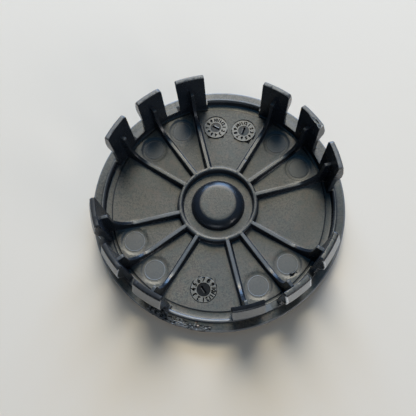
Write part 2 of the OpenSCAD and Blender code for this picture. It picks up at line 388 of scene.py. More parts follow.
def rim_rows():
    """Section from the ring's top round the lip and the crowned front to the middle of the land."""
    e = SOFT_EDGE
    rows = [
        (RING_RO - e, RING_Z), (RING_RO - 0.3 * e, RING_Z - 0.3 * e), (RING_RO, RING_Z - e),
        (RING_RO + 0.02, SEAT_Z + 0.1), (RING_RO + 0.06, SEAT_Z + 0.03), (RING_RO + 0.15, SEAT_Z)]
    rows += [(r, SEAT_Z) for r in even(29.3, CAP_R - LIP_ROUND - 0.1, 4)]
    rows += arc(CAP_R - LIP_ROUND, SEAT_Z - LIP_ROUND, LIP_ROUND, 90, 0, 5)
    base_r = CAP_R - SHOULDER_W
    base_z = crown(base_r)
    rows.append((CAP_R, EDGE_Z + 0.2))
    for t in even(90, 9, 14):
        a = math.radians(t)
        rows.append((base_r + SHOULDER_W * math.sin(a), base_z + (EDGE_Z - base_z) * (1 - math.cos(a))))
    rows += [(r, crown(r)) for r in even(base_r - 0.4, LAND_R, 9)]
    rows += [(7.0, 0.0), (4.0, 0.0), (1.5, 0.0)]
    return rows


def gusset_top(r):
    """Height of the rib's crest and the gusset's front edge at radius r."""
    if r <= SWEEP_START:
        return CREST_LEVEL
    if r <= SWEEP_END:
        return CREST_LEVEL + SWEEP_R - math.sqrt(max(0.0, SWEEP_R ** 2 - (r - SWEEP_START) ** 2))
    sweep_z = CREST_LEVEL + SWEEP_R
    rise = (r - SWEEP_END) / GUSSET_LEAN
    if rise <= 0.96:
        return sweep_z + (GUSSET_Z - GUSSET_EDGE - sweep_z) * rise
    # The lean ends in a small bevel
    return min(GUSSET_Z, GUSSET_Z - GUSSET_EDGE + GUSSET_EDGE * (r - SWEEP_END - GUSSET_LEAN + 0.01) / 0.1)


def rib_half(r):
    """Half the thickness of the rib's crest, which thins to the gusset's along the sweep."""
    t = min(1.0, max(0.0, (r - SWEEP_START) / THINNING))
    return (RIB_W + (GUSSET_W - RIB_W) * t) / 2


def rib_profile(r, base):
    """Offsets from the rib's middle line and their heights, over a floor at height base."""
    crest = gusset_top(r)
    half = rib_half(r)
    e = SOFT_EDGE
    low = CREST_LEVEL - base
    fillet = min(ROOT_FILLET, 0.45 * max(low, 0.0))
    root = half + RIB_FLARE * max(low, 0.0)
    side = root - RIB_FLARE * fillet
    return [
        (0.0, crest), (0.5 * half, crest), (half - e, crest), (half - 0.3 * e, crest - 0.3 * e), (half, crest - e),
        (side, base + fillet), (root + 0.27 * fillet, base + 0.27 * fillet), (root + fillet, base)]


def ring_columns(r_group, z_group, r_gap, z_gap, ribbed):
    """One closed ring of points of the body at one row of its section."""
    rib_r = max(r_group, HUB_RO + 0.02)
    profile = rib_profile(rib_r, z_group)
    in_rib = ribbed and HUB_RO - 0.2 < r_group < FINGER_RI + 0.35
    points = []

    def rib(angle):
        for side in (-1, 1):
            order = reversed(profile) if side < 0 else profile[1:]
            for d, z in order:
                height = max(z_group, z) if in_rib else z_group
                points.append(polar(r_group, angle + side * math.asin(d / rib_r), height))

    reach = math.asin(profile[-1][0] / rib_r)
    for g in range(GROUPS):
        middle = math.radians((g + 0.5) * 360 / GROUPS)
        pitch = math.radians(FINGER_PITCH)
        edge = math.radians(GROUP_HALF)
        lip = math.radians(GROUP_EDGE)
        first = middle - edge + lip
        points.extend(polar(r_group, a, z_group) for a in even(first, middle - pitch - reach, 5)[:-1])
        for s in PER_GROUP:
            rib(middle + s * pitch)
            if s != PER_GROUP[-1]:
                a0 = middle + s * pitch + reach
                a1 = middle + (s + 1) * pitch - reach
                points.extend(polar(r_group, a, z_group) for a in even(a0, a1, GAP_STEPS)[1:-1])
        last = middle + edge - lip
        points.extend(polar(r_group, a, z_group) for a in even(middle + pitch + reach, last, 5)[1:])
        a0 = middle + edge + lip
        a1 = middle + math.radians(360 / GROUPS) - edge - lip
        points.extend(polar(r_gap, a, z_gap) for a in even(a0, a1, WIDE_STEPS))
    return points


def body():
    """The disc with its hub, dome, ribs, gussets, groove, register ring and lip, as one closed mesh."""
    shared = [(r, z, r, z, True) for r, z in hub_rows() + floor_rows()]
    group_wall = wall_rows(FINGER_RI + WALL_SETBACK, RING_Z - WALL_DROP, SOFT_EDGE)
    gap_wall = wall_rows(RING_RI, RING_Z, RING_ROUND)
    walls = [(*a, *b, True) for a, b in zip(group_wall, gap_wall)]
    rows = shared + walls + [(r, z, r, z, False) for r, z in rim_rows()]
    rings = [ring_columns(*row) for row in rows]
    count = len(rings[0])
    verts = [(0, 0, FACE_T + DOME_H), *(point for ring in rings for point in ring), (0, 0, 0)]
    faces = [(0, 1 + i, 1 + (i + 1) % count) for i in range(count)]
    for k in range(len(rows) - 1):
        a, b = 1 + k * count, 1 + (k + 1) * count
        faces.extend((a + i, b + i, b + (i + 1) % count, a + (i + 1) % count) for i in range(count))
    last = 1 + (len(rows) - 1) * count
    faces.extend((last + (i + 1) % count, last + i, len(verts) - 1) for i in range(count))
    return make_object("body", verts, faces)


def rounded(points, steps=4):
    """A closed outline whose corners (r, z, radius) are turned into arcs."""
    out = []
    n = len(points)
    for i, (x, y, radius) in enumerate(points):
        p = Vector((x, y))
        a = (Vector(points[i - 1][:2]) - p).normalized()
        b = (Vector(points[(i + 1) % n][:2]) - p).normalized()
        if radius <= 0:
            out.append((x, y))
            continue
        half = a.angle(b) / 2
        start = p + a * (radius / math.tan(half))
        end = p + b * (radius / math.tan(half))
        centre = p + (a + b).normalized() * (radius / math.sin(half))
        u, v = start - centre, end - centre
        turn = u.angle_signed(v)
        for k in range(steps + 1):
            w = u.copy()
            w.rotate(Matrix.Rotation(-turn * k / steps, 2))
            out.append(tuple(centre + w))
    return out


def inset(outline, amount):
    """The outline moved inwards by amount. The outline runs clockwise seen with r to the right."""
    out = []
    n = len(outline)
    for i in range(n):
        a, p, b = Vector(outline[i - 1]), Vector(outline[i]), Vector(outline[(i + 1) % n])
        u, v = (p - a).normalized(), (b - p).normalized()
        na, nb = Vector((u.y, -u.x)), Vector((v.y, -v.x))
        m = na + nb
        out.append(tuple(p + m * (amount / max(0.4, 1 + na.dot(nb)))))
    return out


def finger_outline(worn):
    """Side view of a finger, from its foot up the inner face, over the tip and down the barb."""
    plate_r = FINGER_RI + FINGER_T
    crest_r = CREST_R - worn
    crest_z = TIP_Z - LEAD_IN_H
    foot = GROOVE_Z - 0.6
    return rounded([
        (FINGER_RI, foot, 0), (FINGER_RI, TIP_Z, TIP_EDGE), (FINGER_RI + TIP_T, TIP_Z, 0.08),
        (FINGER_RI + TIP_T + TIP_BEVEL, TIP_Z - TIP_BEVEL, 0.1),
        (crest_r - 0.08, crest_z, 0.5), (crest_r, crest_z - CREST_H, 0.4),
        (plate_r, crest_z - CREST_H - LOCK_H, 0.5), (plate_r, RING_Z + 0.35, 0.25),
        (plate_r + 0.43, RING_Z - 0.08, 0), (plate_r, foot, 0)])


def finger_columns(half, e):
    """Distances from the finger's middle, with the depth of the rounded edge there."""
    side = [(half - e + e * math.sin(math.radians(t)), e * (1 - math.cos(math.radians(t)))) for t in (90, 60, 30, 0)]
    near = [(half - e - d, 0.0) for d in (0.06, 0.12, 0.2, 0.3, 0.42, 0.56, 0.74)]
    flat = [(y, 0.0) for y in even(half - e - 0.95, e + 0.95 - half, 17)]
    return side + near + flat + [(-y, d) for y, d in reversed(side + near)]


def finger(name, angle, width, wear):
    """One closed finger with its own wear."""
    outline = finger_outline(wear.worn)
    half = width / 2
    slope = (CREST_R - FINGER_RI - TIP_T - TIP_BEVEL) / (LEAD_IN_H - TIP_BEVEL)
    turn = Matrix.Rotation(math.radians(angle), 3, "Z")
    verts = []
    for y, depth in finger_columns(half, wear.edge):
        corner = wear.left if y > 0 else wear.right
        over = max(0.0, abs(y) - (half - corner))
        drop = corner - math.sqrt(max(0.0, corner ** 2 - over ** 2))
        ragged = 0.9 + 1.1 * max(0.0, noise.noise(Vector((1.6 * y, angle, 0)))) + 0.5 * random.random()
        for r, z in inset(outline, depth):
            near_tip = min(1.0, max(0.0, (z - TIP_Z + 0.6) / 0.2))
            across = min(1.0, max(0.0, (r - FINGER_RI) / (TIP_T + TIP_BEVEL)))
            if near_tip == 1 and r < FINGER_RI + TIP_EDGE:
                r = FINGER_RI + (r - FINGER_RI) * ragged
                z = TIP_Z - (TIP_Z - z) * ragged
            bend = min(1.0, max(0.0, (z - RING_Z) / (TIP_Z - RING_Z))) ** 2
            r2 = r + near_tip * across * slope * drop + bend * wear.lean
            y2 = y + bend * wear.shift
            verts.append(turn @ Vector((math.sqrt(r2 * r2 - y2 * y2), y2, z - near_tip * drop)))
    n = len(outline)
    rows = len(verts) // n
    faces = []
    for c in range(rows - 1):
        a, b = c * n, (c + 1) * n
        faces.extend((a + i, a + (i + 1) % n, b + (i + 1) % n, b + i) for i in range(n))
    faces.append(tuple(reversed(range(n))))
    faces.append(tuple(range((rows - 1) * n, rows * n)))
    return make_object(name, verts, faces)


def fingers():
    for i, (angle, wear) in enumerate(zip(finger_angles(), WEAR)):
        width = FINGER_W if i % len(PER_GROUP) == 1 else OUTER_FINGER_W
        yield finger(f"finger_{i}", angle, width, wear)


def outward(obj):
    """Turns every face of a closed mesh outwards."""
    bm = bmesh.new()
    bm.from_mesh(obj.data)
    bmesh.ops.recalc_face_normals(bm, faces=bm.faces)
    bm.to_mesh(obj.data)
    bm.free()
    return obj


def at_floor(r, angle, tilt=0.0):
    """Matrix that moves a tool to the floor at radius r, and leans it inwards by tilt degrees."""
    turn = Matrix.Rotation(math.radians(angle), 4, "Z")
    return turn @ Matrix.Translation((r, 0, floor_z(r))) @ Matrix.Rotation(math.radians(-tilt), 4, "Y")


def turned(name, section, place, segments=64):
    """A closed solid turned round an axis from its section (radius, height), which starts and ends on the axis."""
    verts = [place @ Vector((0, 0, section[0][1]))]
    for r, z in section[1:-1]:
        for i in range(segments):
            verts.append(place @ Vector(polar(r, 2 * math.pi * i / segments, z)))
    verts.append(place @ Vector((0, 0, section[-1][1])))
    last = len(verts) - 1
    start = last - segments
    faces = [(0, 1 + i, 1 + (i + 1) % segments) for i in range(segments)]
    for k in range(len(section) - 3):
        a, b = 1 + k * segments, 1 + (k + 1) * segments
        faces.extend((a + i, b + i, b + (i + 1) % segments, a + (i + 1) % segments) for i in range(segments))
    faces.extend((start + (i + 1) % segments, start + i, last) for i in range(segments))
    return make_object(name, verts, faces)


def prism(name, outline, low, high, place):
    """A closed solid between two heights over a flat outline."""
    n = len(outline)
    verts = [place @ Vector((x, y, z)) for z in (low, high) for x, y in outline]
    faces = [tuple(reversed(range(n))), tuple(range(n, 2 * n))]
    faces.extend((i, (i + 1) % n, n + (i + 1) % n, n + i) for i in range(n))
    return make_object(name, verts, faces)


def combine(base, tools, operation):
    """Adds the tools to base, or cuts them from it, as one closed mesh."""
    for tool in tools:
        outward(tool)
    bpy.context.view_layer.update()
    collection = bpy.data.collections.new("tools")
    for tool in tools:
        collection.objects.link(tool)
    step = base.modifiers.new("combine", "BOOLEAN")
    step.operation = operation
    step.operand_type = "COLLECTION"
    step.collection = collection
    step.solver = "MANIFOLD"
    graph = bpy.context.evaluated_depsgraph_get()
    mesh = bpy.data.meshes.new_from_object(base.evaluated_get(graph))
    if len(mesh.polygons) == len(base.data.polygons):
        print("no change by", operation, tools[0].name)
    base.modifiers.clear()
    base.data = mesh
    for tool in tools:
        bpy.data.objects.remove(tool)
    bpy.data.collections.remove(collection)
    return base


def pin_marks():
    """Tools that cut each ejector mark: a flat inside a thin rim, in a shallow bed with a gentle edge."""
    pin_r = PIN_MARK_D / 2
    rim_r = pin_r - PIN_RIM_W / 2
    bed_r = PIN_BED_D / 2
    half_top = PIN_RIM_TOP_W / 2
    bed = -PIN_MARK_DEPTH
    section = [
        (0, bed), (pin_r - PIN_RIM_W, bed), (rim_r - half_top, -PIN_RIM_DROP), (rim_r + half_top, -PIN_RIM_DROP),
        (pin_r, bed), (bed_r - PIN_BED_SLOPE / 2, bed), (bed_r + PIN_BED_SLOPE / 2, PIN_MARK_DEPTH),
        (bed_r + PIN_BED_SLOPE / 2, 0.8), (0, 0.8)]
    tilt = math.degrees(math.atan(PIN_MARK_R / CROWN_R))
    for g in range(GROUPS):
        for s in PIN_MARK_SIDES:
            angle = (g + 0.5) * 360 / GROUPS + s * FINGER_PITCH / 2
            yield turned(f"pin_mark_{g}_{s}", section, at_floor(PIN_MARK_R, angle, tilt))


def number_mesh(text, height):
    """Flat number as a closed mesh, standing 1 mm high on the plane, or None where it can't be closed."""
    curve = bpy.data.curves.new("number", "FONT")
    curve.body = text
    curve.size = height / FIGURE_H
    curve.extrude = 0.5
    curve.align_x = "CENTER"
    curve.align_y = "CENTER"
    curve.resolution_u = 3
    curve.space_character = 0.9
    curve.offset = NUMBER_GROW
    obj = bpy.data.objects.new("number", curve)
    bpy.context.scene.collection.objects.link(obj)
    bpy.context.view_layer.update()
    mesh = bpy.data.meshes.new_from_object(obj.evaluated_get(bpy.context.evaluated_depsgraph_get()))
    bpy.data.objects.remove(obj)
    bpy.data.curves.remove(curve)
    bm = bmesh.new()
    bm.from_mesh(mesh)
    bmesh.ops.remove_doubles(bm, verts=bm.verts, dist=0.001)
    closed = all(len(e.link_faces) == 2 for e in bm.edges)
    bm.to_mesh(mesh)
    bm.free()
    return mesh if closed else None


def number(name, text, height, place):
    mesh = number_mesh(text, height)
    if mesh is None:
        print("number left out", text)
        return None
    mesh.transform(Matrix.Scale(MM, 4) @ place)
    obj = bpy.data.objects.new(name, mesh)
    bpy.context.scene.collection.objects.link(obj)
    return obj


def dial_places():
    for dial in DIALS:
        turn = Matrix.Rotation(math.radians(dial.angle), 4, "Z")
        spot = turn @ Vector((DIAL_R, 0, floor_z(DIAL_R) + DIAL_RISE))
        yield dial, Matrix.Translation(spot)


def dial_clearings():
    """Tools that clear the floor above each dial, and cut the fine gap round it."""
    r, gap_r = DIAL_D / 2, DIAL_D / 2 + DIAL_GAP
    section = [(0, 0), (r, 0), (r, -DIAL_GAP_DEPTH), (gap_r, -DIAL_GAP_DEPTH), (gap_r, 1), (0, 1)]
    for i, (_, place) in enumerate(dial_places()):
        yield turned(f"dial_clearing_{i}", section, place)


def dial_beds():
    """Solids that carry each dial where it stands above the floor."""
    r = DIAL_D / 2 - 0.005
    section = [(0, -0.9), (r, -0.9), (r, -0.05), (r - 0.015, -0.015), (r - 0.05, 0), (0, 0)]
    for i, (_, place) in enumerate(dial_places()):
        yield turned(f"dial_bed_{i}", section, place)


def dial_cores():
    for i, (dial, place) in enumerate(dial_places()):
        r = dial.core_d / 2
        section = [(0, -DIAL_CORE_DEPTH), (r, -DIAL_CORE_DEPTH), (r + 0.03, 0.5), (0, 0.5)]
        yield turned(f"dial_core_{i}", section, place)


def arrow_outline(length, width):
    """Arrow that points along X: a bar with a broad head."""
    h, w = length / 2, width / 2
    return [(-h, -w), (h - 0.42, -w), (h - 0.5, -w - 0.22), (h, 0), (h - 0.5, w + 0.22), (h - 0.42, w), (-h, w)]


def dial_ridges():
    """Low ridge beside the arrow in each core, pushed up when the arrow was cut."""
    start, end = RIDGE_ENDS
    for i, (dial, place) in enumerate(dial_places()):
        turn = place @ Matrix.Rotation(math.radians(dial.arrow), 4, "Z")
        low, high = dial.side * RIDGE_START, dial.side * (RIDGE_START + dial.ridge_w)
        outline = [(start, low), (end, low), (end, high), (start, high)]
        if dial.side < 0:
            outline.reverse()
        yield prism(f"dial_ridge_{i}", outline, -0.4, -DIAL_CORE_DEPTH + RIDGE_H, turn)


def dial_engraving():
    """Tools that cut the numbers 1 to 12 and the arrow of each dial."""
    for i, (dial, place) in enumerate(dial_places()):
        turn = place @ Matrix.Rotation(math.radians(dial.arrow), 4, "Z")
        yield prism(f"arrow_{i}", arrow_outline(ARROW_LENGTH, ARROW_W), -0.5, 0.5, turn)
        for k in range(12):
            a = math.radians(dial.first - 30 * k)
            spot = Matrix.Translation(polar(dial.ring_r, a, 0.5 - NUMBER_DEPTH))
            stand = place @ spot @ Matrix.Rotation(a - math.pi / 2, 4, "Z")
            for shift in (-NUMBER_BOLD, NUMBER_BOLD):
                moved = stand @ Matrix.Translation((shift, shift, 0))
                tool = number(f"number_{i}_{k}", str(k + 1), dial.height, moved)
                if tool is not None:
                    yield tool


def chip(name, r, angle, z, size, turn=0.0):
    """Rough lump that breaks a bit out of an edge. Its size is along the radius, round it and up."""
    bm = bmesh.new()
    bmesh.ops.create_icosphere(bm, subdivisions=2, radius=1.0)
    place = Matrix.Rotation(math.radians(angle), 4, "Z") @ Matrix.Translation((r, 0, z))
    place = place @ Matrix.Rotation(math.radians(turn), 4, "Z") @ Matrix.Diagonal((*size, 1))
    for v in bm.verts:
        v.co = place @ (v.co * random.uniform(0.72, 1.18)) * MM
    mesh = bpy.data.meshes.new(name)
    bm.to_mesh(mesh)
    bm.free()
    obj = bpy.data.objects.new(name, mesh)
    bpy.context.scene.collection.objects.link(obj)
    return obj


def gouges():
    """Tools for the gouged stretch: bits that run along the seat and over the lip's edge, most near its start."""
    for i in range(GOUGE_COUNT):
        t = random.random() ** 1.3
        angle = GOUGE_START + (GOUGE_END - GOUGE_START) * t
        r = random.uniform(GOUGE_INNER_R + GOUGE_NARROWING * t, GOUGE_OUTER_R)
        size = (random.uniform(0.1, 0.26), random.uniform(0.35, 1.2), random.uniform(0.12, 0.34))
        z = SEAT_Z + random.uniform(-0.05, 0.1) if r < SEAT_END_R else random.uniform(3.4, 4.2)
        yield chip(f"gouge_{i}", r, angle, z, size, random.uniform(-GOUGE_TURN, GOUGE_TURN))
    for deep in DEEP_GOUGES:
        yield chip(*deep)
    for i in range(GOUGE_RIM_COUNT):
        size = (random.uniform(0.2, 0.36), random.uniform(0.3, 0.7), random.uniform(0.4, 0.8))
        angle = random.uniform(GOUGE_START + 1, GOUGE_RIM_END)
        yield chip(f"gouge_rim_{i}", 31.05, angle, random.uniform(3.5, 4.1), size)
    for edge in EDGE_GOUGES:
        yield chip(*edge)
    for i, (r, angle) in enumerate(STAINS):
        yield chip(f"stain_{i}", r, angle, SEAT_Z + 0.05, (0.25, 0.45, 0.12))


def damage():
    """Tools for the breaks and scrapes that the photograph shows."""
    yield from gouges()
    # Nick in the floor beside an ejector mark
    yield prism("nick", NICK_OUTLINE, -NICK_DEPTH, 0.6, at_floor(NICK_R, NICK_ANGLE))
    # Scratch across the flange
    a, b = (Vector(polar(r, math.radians(angle), 0)) for r, angle in SCRATCH_ENDS)
    aside = (b - a).cross(Vector((0, 0, 1))).normalized() * SCRATCH_HALF
    outline = [point[:2] for point in (a - aside, b - aside, b + aside, a + aside)]
    yield prism("scratch", outline, SEAT_Z - SCRATCH_DEPTH, SEAT_Z + 0.3, Matrix.Identity(4))
    for spot in OTHER_BREAKS:
        yield chip(*spot)
    # Nibbled long edge of a finger
    for i in range(NIBBLE_COUNT):
        z = TIP_Z - random.uniform(2.2, 5.6)
        yield chip(f"nibble_{i}", FINGER_RI + 0.02, NIBBLED_ANGLE, z, (0.12, 0.16, 0.3))


def zone_centres():
    """Middle and radius of every ejector mark and date dial."""
    marks = []
    for g in range(GROUPS):
        for s in PIN_MARK_SIDES:
            angle = math.radians((g + 0.5) * 360 / GROUPS + s * FINGER_PITCH / 2)
            marks.append((*polar(PIN_MARK_R, angle, 0)[:2], PIN_MARK_D / 2))
    dials = [(*place.translation[:2], DIAL_D / 2) for _, place in dial_places()]
    return marks, dials


def crisp_steps(mesh):
    """Keeps the low steps of the marks and dials sharp under smooth shading."""
    marks, dials = zone_centres()
    bm = bmesh.new()
    bm.from_mesh(mesh)
    for edge in bm.edges:
        x, y, z = (edge.verts[0].co + edge.verts[1].co) / 2 / MM
        if z > FACE_T + 2 or z < 1.8 or not STEP_BELT[0] < math.hypot(x, y) < STEP_BELT[1]:
            continue
        near = any((x - cx) ** 2 + (y - cy) ** 2 < (r + 0.25) ** 2 for cx, cy, r in marks + dials)
        if near and edge.calc_face_angle(0) > math.radians(STEP_ANGLE):
            edge.smooth = False
    bm.to_mesh(mesh)
    bm.free()


class Faces:
    """Where every face lies and which way it looks, in millimetres and degrees, and what is painted on it."""

    def __init__(self, mesh):
        count = len(mesh.polygons)
        middles = np.empty(count * 3)
        normals = np.empty(count * 3)
        mesh.polygons.foreach_get("center", middles)
        mesh.polygons.foreach_get("normal", normals)
        self.x, self.y, self.z = middles.reshape(-1, 3).T / MM
        nx, ny, self.nz = normals.reshape(-1, 3).T
        self.r = np.hypot(self.x, self.y)
        self.angle = np.degrees(np.arctan2(self.y, self.x)) % 360
        self.n_out = (nx * self.x + ny * self.y) / np.maximum(self.r, 0.01)
        self.n_side = np.abs(nx * self.y - ny * self.x) / np.maximum(self.r, 0.01)
        self.layers = np.zeros((len(LAYERS), count))
        self.rub, self.mark, self.cavity, self.torn, self.clean, self.pale, self.stain = self.layers

    def by_half(self, pair):
        """The pair's value for the half that each face lies in."""
        return np.where(self.y < 0, pair.near, pair.far)

    def write(self, mesh):
        for name, values in zip(LAYERS, self.layers):
            layer = mesh.attributes.new(name, "FLOAT", "FACE")
            layer.data.foreach_set("value", values.astype(np.float32))


def paint_fingers(f):
    """Rubbed barbs whose paler edges and crests are wear and painted highlight, the chipped tip, far tops with a
    painted highlight and reflection, and near tops that stay dusty or are painted black as shade.
    """
    directions = np.array(list(finger_angles()))
    nearest = np.argmin(np.abs((f.angle[:, None] - directions + 180) % 360 - 180), axis=1)
    amount, frame_highlight_strength, tip_shade = np.array([(w.rub, w.frame, w.tip) for w in WEAR])[nearest].T

    barb = (f.z > TIP_Z - LEAD_IN_H - CREST_H - 0.9) & (f.r > FINGER_RI + 0.45)
    f.rub[barb & (f.n_out > 0.55)] = BARB_RUB
    f.rub[barb & (f.nz > 0.5)] = BARB_TOP_RUB
    # The barb's rounded long edges, painted paler as wear and as painted highlight
    f.rub[barb & (f.n_side > 0.15) & (f.n_side < 0.97) & (f.n_out > 0.15)] = BARB_EDGE_WEAR_AND_HIGHLIGHT
    across = np.abs(f.r * np.sin(np.radians(f.angle - directions[nearest])))
    half = np.where(nearest % len(PER_GROUP) == 1, FINGER_W, OUTER_FINGER_W) / 2
    # Painted highlight: a paler border round the barb's face and along its top, where its edges catch the light
    outer = (across > half - BARB_FRAME_W) | (f.z > TIP_Z - TIP_BEVEL - 0.3)
    highlight_border = barb & (f.n_out > 0.15) & outer & (f.nz < 0.9)
    f.rub[highlight_border] = (BARB_RUB + BARB_FRAME_HIGHLIGHT * frame_highlight_strength)[highlight_border]
    # The barb's crest, painted paler as wear and as painted highlight
    crest = barb & (f.n_out > 0.5) & (np.abs(f.z - TIP_Z + LEAD_IN_H) < 0.28)
    f.rub[crest] = BARB_CREST_WEAR_AND_HIGHLIGHT
    f.rub *= amount

    top = (f.z > TIP_Z - 0.42) & (f.nz > 0.5)
    # Painted highlight and painted reflection: the far tips' tops get a pale tone and the smooth grey
    f.rub[top] = f.by_half(TIP_HIGHLIGHT)[top]
    f.mark[top & (f.y > 0)] = TIP_REFLECTION
    f.clean[f.z > RING_Z + 1] = 1
    near_tip = (f.z > TIP_Z - 0.5) & (f.y < 0)
    f.clean[near_tip & (tip_shade < 0.3)] = DUSTY_TIP_CLEAN
    # Broken faces of the chipped tip, painted pale both as fresh breaks and as a painted highlight on faces in shade
    chipped = (f.z > TIP_Z - 1.2) & (f.r < FINGER_RI + 0.75) & (np.abs(f.angle - CHIPPED_ANGLE) < 5)
    f.rub[chipped & (np.abs(f.nz) < 0.97) & (f.n_out > -0.97)] = CHIP_WEAR_AND_HIGHLIGHT
    # Painted shade: the tops and inner edges of the near tips are painted black and dull, and lose their pale tone
    black = near_tip & (f.n_out < 0.3) & (f.r < FINGER_RI + TIP_T + 0.05)
    f.cavity[black] = tip_shade[black]
    f.rub[black] = 0


def paint_ribs(f):
    """Painted highlights on the edges of the ribs and the hub ring and on the rib tops, strongest on the near half,
    tops without dust, and smooth gusset ends.
    """
    level = np.abs(f.z - CREST_LEVEL) < 0.12
    edge = level & (f.nz < 0.9) & (f.nz > 0.3) & (f.r < 22)
    # Painted highlight on the edges of the ribs and the hub ring
    f.rub[edge] = f.by_half(RIB_EDGE_HIGHLIGHT)[edge]
    top = level & (f.r > HUB_RI - 0.1) & (f.nz > 0.5)
    f.clean[top] = RIB_CLEAN
    rib_top = top & (f.r > HUB_RO)
    # Painted highlight on the rib tops
    f.rub[rib_top] = f.by_half(RIB_TOP_HIGHLIGHT)[rib_top]
    gusset_end = (f.z > GUSSET_Z - 0.5) & (f.z < GUSSET_Z + 0.1) & (f.r < FINGER_RI) & (f.r > FINGER_RI - 2)
    f.mark[gusset_end] = 1


def paint_rim(f):
    """The ring's top with its painted highlight, the step beside the groove painted paler as painted light, the walls
    between the fingers with painted shade on their tops, the lip and the front's edge.
    """
    ring_top = (f.r > RING_RI - 0.1) & (f.r < RING_RO + 0.02) & (f.z > RING_Z - 0.3) & (f.z < RING_Z + 0.1)
    near = (f.angle > NEAR_ARC[0]) & (f.angle < NEAR_ARC[1])
    f.clean[ring_top] = np.where(near, *RING_CLEAN)[ring_top]
    # Painted highlight on the ring's top, strongest along NEAR_ARC
    f.rub[ring_top] = np.where(near, *RING_HIGHLIGHT)[ring_top]
    step = (f.r > FLOOR_R - 0.03) & (f.r < FLOOR_R + 0.25) & (f.z < 3.5) & (f.z > 2.5) & (f.nz > 0.1)
    # Painted light: the step is painted paler where it lies in shade
    f.rub[step] = STEP_PAINTED_LIGHT
    wall_top = (f.r < RING_RI - 0.1) & (f.r > FINGER_RI - 0.1) & (np.abs(f.z - RING_Z) < 0.3)
    # Painted shade on the tops of the walls between the fingers
    f.cavity[wall_top] = WALL_TOP_SHADE
    f.rub[(f.r > CAP_R - 0.45) & (f.z > 3.3)] = LIP_RUB
    f.rub[(f.r > 26) & (f.z < 2.2) & (f.nz < 0)] = FRONT_RUB


def paint_marks(f, marks):
    """Ejector marks: a smooth flat, a painted highlight on the rim and painted shade on the edge of the bed."""
    low = (f.z < FACE_T + 1.4) & (f.z > 1.9) & (f.nz > 0.2)
    for cx, cy, radius in marks:
        d = np.hypot(f.x - cx, f.y - cy)
        f.mark[low & (d < radius - PIN_RIM_W + 0.02)] = 1
        bed_edge = low & (np.abs(d - PIN_BED_D / 2) < PIN_BED_SLOPE / 2 + 0.05) & (f.nz < 0.99)
        # Painted shade on the sloping edge of the bed
        f.cavity[bed_edge] = PIN_BED_SHADE.far if cy > 0 else PIN_BED_SHADE.near
        rim = low & (np.abs(d - radius + PIN_RIM_W / 2) < PIN_RIM_W / 2 + 0.02)
        # Painted highlight on the rim
        f.rub[rim] = PIN_RIM_HIGHLIGHT.far if cy > 0 else PIN_RIM_HIGHLIGHT.near


def paint_dials(f, dials):
    """Date dials: a pale face with a painted highlight on its edge and on the ridge, a dark core, and painted shade
    in the gap and the engraving.
    """
    plane = floor_z(DIAL_R) + DIAL_RISE
    for dial, (cx, cy, radius) in zip(DIALS, dials):
        d = np.hypot(f.x - cx, f.y - cy)
        inside = (d < radius) & (f.z < plane + 0.2) & (f.z > 1.5)
        core = inside & (d < dial.core_d / 2) & (f.z < plane - 0.03)
        f.pale[inside & ~core & (f.nz > 0.9)] = dial.pale
        gap = (d > radius - 0.02) & (d < radius + DIAL_GAP) & (f.z < plane - 0.04) & (f.z > 1.5)
        # Painted shade in the gap, along its near side, and all the way round where the dial is ringed
        f.cavity[gap & ((f.y < cy) | dial.ringed)] = DIAL_GAP_SHADE
        f.cavity[core] = dial.dark
        ridge = core & (f.z > plane - DIAL_CORE_DEPTH + RIDGE_H / 2)
        # Painted highlight on the ridge beside the arrow
        f.cavity[ridge] = 0
        f.rub[ridge] = dial.ridge_rub
        # Painted shade at the bottom of the engraved numbers and arrow
        f.cavity[inside & (f.z < plane - 0.14)] = 1
        # Painted highlight on the dial's edge
        f.rub[inside & (d > radius - 0.08) & (f.z > plane - 0.1)] = DIAL_EDGE_HIGHLIGHT


def paint_damage(f):
    """The gouged stretch of the lip and its stains, the scratch across the flange, and painted shade in the nick in
    the floor.
    """
    gouged = (f.angle > GOUGE_START - 3) & (f.angle < GOUGE_END + 3) & (f.r > 28.5) & (f.z > 3.2)
    edge_r, edge_z = CAP_R - LIP_ROUND, SEAT_Z - LIP_ROUND
    below_seat = (f.r < edge_r) & (f.z < SEAT_Z - TORN_DEPTH)
    from_edge = np.hypot(f.r - edge_r, f.z - edge_z)
    inside_edge = (f.r >= edge_r) & (f.z > edge_z) & (from_edge < LIP_ROUND - TORN_DEPTH)
    inside_lip = (f.z <= edge_z) & (f.z > EDGE_Z + 0.1) & (f.r < CAP_R - TORN_DEPTH)
    f.torn[gouged & (below_seat | inside_edge | inside_lip)] = 1
    f.torn[(f.torn > 0) & (f.angle > GOUGE_DEEP_END)] = FAR_GOUGE_TORN
    for stain_r, stain_angle in STAINS:
        x, y, _ = polar(stain_r, math.radians(stain_angle), 0)
        f.stain[(f.torn > 0) & (np.hypot(f.x - x, f.y - y) < STAIN_R)] = 1

    scratch = (f.z < SEAT_Z - SCRATCH_DEPTH / 2) & (f.z > SEAT_Z - 1.5 * SCRATCH_DEPTH) & (f.nz > 0.9)
    beside = (np.abs(f.angle - SCRATCH_ANGLE) < 3) & (f.r > 29.5) & (f.r < 30.9)
    f.rub[scratch & beside] = SCRATCH_RUB
    x, y, _ = polar(NICK_R, math.radians(NICK_ANGLE), 0)
    # Painted shade: the nick is painted black inside
    f.cavity[(np.hypot(f.x - x, f.y - y) < 1) & (f.z < floor_z(NICK_R) - 0.06) & (f.z > 2)] = 1


def paint(mesh):
    """Face attributes for the material, one for each name in LAYERS."""
    faces = Faces(mesh)
    marks, dials = zone_centres()
    paint_fingers(faces)
    paint_ribs(faces)
    paint_rim(faces)
    paint_marks(faces, marks)
    paint_dials(faces, dials)
    paint_damage(faces)
    faces.write(mesh)


